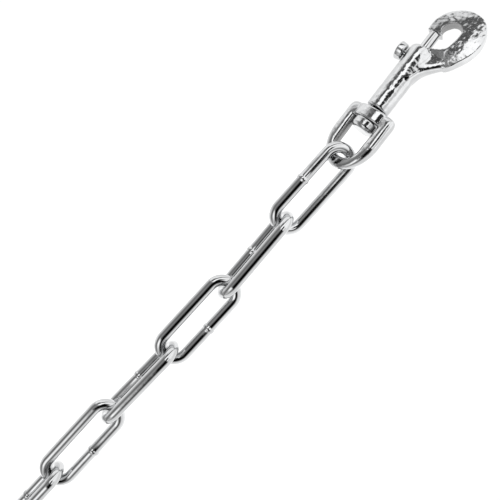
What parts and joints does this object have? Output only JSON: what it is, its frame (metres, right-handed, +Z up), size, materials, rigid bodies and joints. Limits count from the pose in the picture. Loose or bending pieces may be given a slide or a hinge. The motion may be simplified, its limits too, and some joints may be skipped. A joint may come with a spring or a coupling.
{
  "type": "chain with swivel bolt snap",
  "caption": "Length of welded long-link chain laid out straight, with a swivel bolt snap at one end that clips to a ring.",
  "frame": {"origin": "on the floor, under the middle of the object's box", "axes": "+X along the chain towards the snap, +Z up, +Y the side that the thumb stud is on"},
  "size_m": [1.0016, 0.0218, 0.0116],
  "materials": {
    "plated_casting": "bright plated",
    "plated_steel": "bright plated",
    "spring_steel": "drawn wire"
  },
  "bodies": {
    "snap": {"snap_body": "plated_casting", "bolt_spring": "spring_steel"},
    "bolt": {"bolt": "plated_steel"},
    "eye": {"swivel_eye": "plated_casting"},
    "link_01": {"link_01": "plated_steel"},
    "link_02": {"link_02": "plated_steel"},
    "link_03": {"link_03": "plated_steel"},
    "link_04": {"link_04": "plated_steel"},
    "link_05": {"link_05": "plated_steel"},
    "link_06": {"link_06": "plated_steel"},
    "link_07": {"link_07": "plated_steel"},
    "link_08": {"link_08": "plated_steel"},
    "link_09": {"link_09": "plated_steel"},
    "link_10": {"link_10": "plated_steel"},
    "link_11": {"link_11": "plated_steel"},
    "link_12": {"link_12": "plated_steel"},
    "link_13": {"link_13": "plated_steel"},
    "link_14": {"link_14": "plated_steel"},
    "link_15": {"link_15": "plated_steel"},
    "link_16": {"link_16": "plated_steel"},
    "link_17": {"link_17": "plated_steel"},
    "link_18": {"link_18": "plated_steel"},
    "link_19": {"link_19": "plated_steel"},
    "link_20": {"link_20": "plated_steel"},
    "link_21": {"link_21": "plated_steel"},
    "link_22": {"link_22": "plated_steel"},
    "link_23": {"link_23": "plated_steel"},
    "link_24": {"link_24": "plated_steel"},
    "link_25": {"link_25": "plated_steel"},
    "link_26": {"link_26": "plated_steel"},
    "link_27": {"link_27": "plated_steel"},
    "link_28": {"link_28": "plated_steel"},
    "link_29": {"link_29": "plated_steel"},
    "link_30": {"link_30": "plated_steel"},
    "link_31": {"link_31": "plated_steel"}
  },
  "joints": [
    {"name": "bolt_slide", "type": "slide", "parent": "snap", "child": "bolt", "axis": [-0.9945, -0.1045, 0], "range_m": [0, 0.0066], "stiffness_N_per_m": 380, "springref_m": -0.0053, "deforming": ["bolt_spring"]},
    {"name": "eye_swivel", "type": "hinge", "parent": "snap", "child": "eye", "pos_m": [0.45554, 0.00105, 0.00582], "axis": [0.9945, 0.1045, 0], "continuous": true},
    {"name": "contact_01", "type": "hinge", "parent": "eye", "child": "link_01", "pos_m": [0.43361, -0.00126, 0.00582], "axis": [0.016, -0.7659, 0.6428], "range_deg": [-90, 90]},
    {"name": "contact_02", "type": "hinge", "parent": "link_01", "child": "link_02", "pos_m": [0.40412, -0.00188, 0.00582], "axis": [-0.037, 0.7061, 0.7071], "range_deg": [-90, 90]},
    {"name": "contact_03", "type": "hinge", "parent": "link_02", "child": "link_03", "pos_m": [0.37406, -0.00345, 0.00582], "axis": [-0.0049, 0.7071, -0.7071], "range_deg": [-90, 90]},
    {"name": "contact_04", "type": "hinge", "parent": "link_03", "child": "link_04", "pos_m": [0.34396, -0.00366, 0.00582], "axis": [-0.0148, -0.707, -0.7071], "range_deg": [-90, 90]},
    {"name": "contact_05", "type": "hinge", "parent": "link_04", "child": "link_05", "pos_m": [0.31386, -0.00303, 0.00582], "axis": [0.0074, -0.7071, 0.7071], "range_deg": [-90, 90]},
    {"name": "contact_06", "type": "hinge", "parent": "link_05", "child": "link_06", "pos_m": [0.28377, -0.00335, 0.00582], "axis": [0, 0.7071, 0.7071], "range_deg": [-90, 90]},
    {"name": "contact_07", "type": "hinge", "parent": "link_06", "child": "link_07", "pos_m": [0.25367, -0.00335, 0.00582], "axis": [0, 0.7071, -0.7071], "range_deg": [-90, 90]},
    {"name": "contact_08", "type": "hinge", "parent": "link_07", "child": "link_08", "pos_m": [0.22357, -0.00335, 0.00582], "axis": [0, -0.7071, -0.7071], "range_deg": [-90, 90]},
    {"name": "contact_09", "type": "hinge", "parent": "link_08", "child": "link_09", "pos_m": [0.19347, -0.00335, 0.00582], "axis": [0, -0.7071, 0.7071], "range_deg": [-90, 90]},
    {"name": "contact_10", "type": "hinge", "parent": "link_09", "child": "link_10", "pos_m": [0.16337, -0.00335, 0.00582], "axis": [0, 0.7071, 0.7071], "range_deg": [-90, 90]},
    {"name": "contact_11", "type": "hinge", "parent": "link_10", "child": "link_11", "pos_m": [0.13327, -0.00335, 0.00582], "axis": [0, 0.7071, -0.7071], "range_deg": [-90, 90]},
    {"name": "contact_12", "type": "hinge", "parent": "link_11", "child": "link_12", "pos_m": [0.10317, -0.00335, 0.00582], "axis": [0, -0.7071, -0.7071], "range_deg": [-90, 90]},
    {"name": "contact_13", "type": "hinge", "parent": "link_12", "child": "link_13", "pos_m": [0.07307, -0.00335, 0.00582], "axis": [0, -0.7071, 0.7071], "range_deg": [-90, 90]},
    {"name": "contact_14", "type": "hinge", "parent": "link_13", "child": "link_14", "pos_m": [0.04297, -0.00335, 0.00582], "axis": [0, 0.7071, 0.7071], "range_deg": [-90, 90]},
    {"name": "contact_15", "type": "hinge", "parent": "link_14", "child": "link_15", "pos_m": [0.01287, -0.00335, 0.00582], "axis": [0, 0.7071, -0.7071], "range_deg": [-90, 90]},
    {"name": "contact_16", "type": "hinge", "parent": "link_15", "child": "link_16", "pos_m": [-0.01723, -0.00335, 0.00582], "axis": [0, -0.7071, -0.7071], "range_deg": [-90, 90]},
    {"name": "contact_17", "type": "hinge", "parent": "link_16", "child": "link_17", "pos_m": [-0.04733, -0.00335, 0.00582], "axis": [0, -0.7071, 0.7071], "range_deg": [-90, 90]},
    {"name": "contact_18", "type": "hinge", "parent": "link_17", "child": "link_18", "pos_m": [-0.07743, -0.00335, 0.00582], "axis": [0, 0.7071, 0.7071], "range_deg": [-90, 90]},
    {"name": "contact_19", "type": "hinge", "parent": "link_18", "child": "link_19", "pos_m": [-0.10753, -0.00335, 0.00582], "axis": [0, 0.7071, -0.7071], "range_deg": [-90, 90]},
    {"name": "contact_20", "type": "hinge", "parent": "link_19", "child": "link_20", "pos_m": [-0.13763, -0.00335, 0.00582], "axis": [0, -0.7071, -0.7071], "range_deg": [-90, 90]},
    {"name": "contact_21", "type": "hinge", "parent": "link_20", "child": "link_21", "pos_m": [-0.16773, -0.00335, 0.00582], "axis": [0, -0.7071, 0.7071], "range_deg": [-90, 90]},
    {"name": "contact_22", "type": "hinge", "parent": "link_21", "child": "link_22", "pos_m": [-0.19783, -0.00335, 0.00582], "axis": [0, 0.7071, 0.7071], "range_deg": [-90, 90]},
    {"name": "contact_23", "type": "hinge", "parent": "link_22", "child": "link_23", "pos_m": [-0.22793, -0.00335, 0.00582], "axis": [0, 0.7071, -0.7071], "range_deg": [-90, 90]},
    {"name": "contact_24", "type": "hinge", "parent": "link_23", "child": "link_24", "pos_m": [-0.25803, -0.00335, 0.00582], "axis": [0, -0.7071, -0.7071], "range_deg": [-90, 90]},
    {"name": "contact_25", "type": "hinge", "parent": "link_24", "child": "link_25", "pos_m": [-0.28813, -0.00335, 0.00582], "axis": [0, -0.7071, 0.7071], "range_deg": [-90, 90]},
    {"name": "contact_26", "type": "hinge", "parent": "link_25", "child": "link_26", "pos_m": [-0.31823, -0.00335, 0.00582], "axis": [0, 0.7071, 0.7071], "range_deg": [-90, 90]},
    {"name": "contact_27", "type": "hinge", "parent": "link_26", "child": "link_27", "pos_m": [-0.34833, -0.00335, 0.00582], "axis": [0, 0.7071, -0.7071], "range_deg": [-90, 90]},
    {"name": "contact_28", "type": "hinge", "parent": "link_27", "child": "link_28", "pos_m": [-0.37843, -0.00335, 0.00582], "axis": [0, -0.7071, -0.7071], "range_deg": [-90, 90]},
    {"name": "contact_29", "type": "hinge", "parent": "link_28", "child": "link_29", "pos_m": [-0.40853, -0.00335, 0.00582], "axis": [0, -0.7071, 0.7071], "range_deg": [-90, 90]},
    {"name": "contact_30", "type": "hinge", "parent": "link_29", "child": "link_30", "pos_m": [-0.43863, -0.00335, 0.00582], "axis": [0, 0.7071, 0.7071], "range_deg": [-90, 90]},
    {"name": "contact_31", "type": "hinge", "parent": "link_30", "child": "link_31", "pos_m": [-0.46873, -0.00335, 0.00582], "axis": [0, 0.7071, -0.7071], "range_deg": [-90, 90]}
  ]
}
